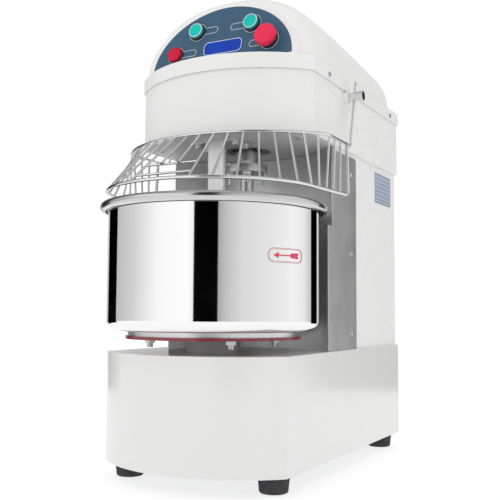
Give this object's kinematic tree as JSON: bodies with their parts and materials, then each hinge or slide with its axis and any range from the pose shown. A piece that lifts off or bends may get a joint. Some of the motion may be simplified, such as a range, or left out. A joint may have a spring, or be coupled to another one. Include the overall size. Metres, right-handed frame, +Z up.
{
  "type": "spiral dough mixer",
  "caption": "Free-standing bakery mixer: a turning steel bowl under a coiled dough hook, wire bowl guard, bowed white casings and a domed hood with a control panel.",
  "frame": {"origin": "on the floor under the centre of the footprint", "axes": "+Z up, the front with the bowl faces -Y, +X to the right seen from the front with the back away"},
  "size_m": [0.416, 0.706, 0.8554],
  "materials": {
    "white_paint": "gloss warm white enamel",
    "polished_steel": "mirror-polished stainless steel",
    "brushed_steel": "brushed stainless steel",
    "bright_rod": "bright polished steel rod",
    "zinc_fastener": "bright zinc-plated steel",
    "structural_steel": "grey primed steel",
    "turned_steel": "turned bearing and shaft steel",
    "hub_grey": "light grey enamel on a casting",
    "turntable_red": "satin red enamel",
    "black_rubber": "matt black moulded rubber",
    "black_plastic": "matt black plastic",
    "slate_panel": "matt slate-blue printed panel",
    "badge_blue": "gloss blue with a pale border",
    "lamp_red": "translucent dark red lens",
    "button_green": "gloss teal green",
    "button_red": "gloss signal red",
    "white_plastic": "gloss white plastic",
    "plate_grey": "satin pale blue-grey foil",
    "motor_grey": "blue-grey enamel"
  },
  "bodies": {
    "machine": {"base_housing": "white_paint", "column_side_panels": "white_paint", "rear_panel": "white_paint", "head_casing": "white_paint", "hood_cover": "white_paint", "column_splash_plate": "brushed_steel", "divider_bar": "brushed_steel", "foot_bolts": "zinc_fastener", "splash_plate_screws": "zinc_fastener", "rear_panel_screws": "zinc_fastener", "underside_screws": "zinc_fastener", "hood_screws": "zinc_fastener", "divider_bar_bolts": "zinc_fastener", "base_chassis": "structural_steel", "head_base_plate": "structural_steel", "motor_mount": "structural_steel", "spiral_bearing_housing": "structural_steel", "spiral_bearings": "turned_steel", "bowl_bearings": "turned_steel", "drive_chains": "turned_steel", "bowl_bearing_hub": "hub_grey", "countershaft_bearing": "hub_grey", "jackshaft_bearings": "hub_grey", "rubber_feet": "black_rubber", "v_belts": "black_rubber", "control_collars": "black_plastic", "contact_blocks": "black_plastic", "cable_gland": "black_plastic", "guard_switch": "black_plastic", "contactor_box": "black_plastic", "control_panel": "slate_panel", "panel_badge": "badge_blue", "power_lamp": "lamp_red", "guard_bushes": "white_plastic", "rating_plate": "plate_grey", "motor_body": "motor_grey"},
    "guard": {"guard_upper_ring": "bright_rod", "guard_lower_ring": "bright_rod", "guard_wires": "bright_rod", "guard_feed_rods": "bright_rod", "guard_pivot_shafts": "bright_rod"},
    "bowl_unit": {"bowl": "polished_steel", "bowl_base_ring": "brushed_steel", "turntable_plate": "turntable_red", "turntable_bolts": "zinc_fastener", "bowl_shaft": "turned_steel", "bowl_sprocket": "turned_steel"},
    "spiral_unit": {"spiral_shaft": "turned_steel", "spiral_hook": "brushed_steel", "spiral_flange_bolts": "zinc_fastener", "spiral_sprocket": "turned_steel"},
    "countershaft_unit": {"countershaft": "turned_steel"},
    "jackshaft_unit": {"jackshaft": "turned_steel", "jackshaft_pulley": "turned_steel"},
    "rotor_unit": {"motor_rotor": "turned_steel", "motor_pulley": "turned_steel"},
    "fast_button_unit": {"fast_button": "button_green"},
    "slow_button_unit": {"slow_button": "button_green"},
    "stop_button_unit": {"stop_button": "button_red"}
  },
  "joints": [
    {"name": "guard_swing", "type": "hinge", "parent": "machine", "child": "guard", "pos_m": [0, 0.024, 0.678], "axis": [-1, 0, 0], "range_deg": [0, 90]},
    {"name": "bowl_spin", "type": "hinge", "parent": "machine", "child": "bowl_unit", "pos_m": [0, -0.157, 0.3], "axis": [0, 0, -1], "continuous": true},
    {"name": "spiral_spin", "type": "hinge", "parent": "machine", "child": "spiral_unit", "pos_m": [0, -0.039, 0.3], "axis": [0, 0, -1], "continuous": true},
    {"name": "countershaft_spin", "type": "hinge", "parent": "machine", "child": "countershaft_unit", "pos_m": [0, 0.03, 0.3], "axis": [0, 0, -1], "continuous": true},
    {"name": "jackshaft_spin", "type": "hinge", "parent": "machine", "child": "jackshaft_unit", "pos_m": [0.06, 0.13, 0.3], "axis": [0, 0, -1], "continuous": true},
    {"name": "rotor_spin", "type": "hinge", "parent": "machine", "child": "rotor_unit", "pos_m": [-0.07, 0.235, 0.3], "axis": [0, 0, -1], "continuous": true},
    {"name": "fast_press", "type": "slide", "parent": "machine", "child": "fast_button_unit", "axis": [0, 0.9763, -0.2164], "range_m": [0, 0.004], "stiffness_N_per_m": 250, "springref_m": -0.004},
    {"name": "slow_press", "type": "slide", "parent": "machine", "child": "slow_button_unit", "axis": [0, 0.9763, -0.2164], "range_m": [0, 0.004], "stiffness_N_per_m": 250, "springref_m": -0.004},
    {"name": "stop_press", "type": "slide", "parent": "machine", "child": "stop_button_unit", "axis": [0, 0.9763, -0.2164], "range_m": [0, 0.006], "stiffness_N_per_m": 300, "springref_m": -0.004}
  ],
  "couplings": [
    {"joint": "countershaft_spin", "follows": "bowl_spin", "ratio": 7},
    {"joint": "jackshaft_spin", "follows": "bowl_spin", "ratio": 23.333},
    {"joint": "spiral_spin", "follows": "bowl_spin", "ratio": 10},
    {"joint": "rotor_spin", "follows": "bowl_spin", "ratio": 70}
  ]
}
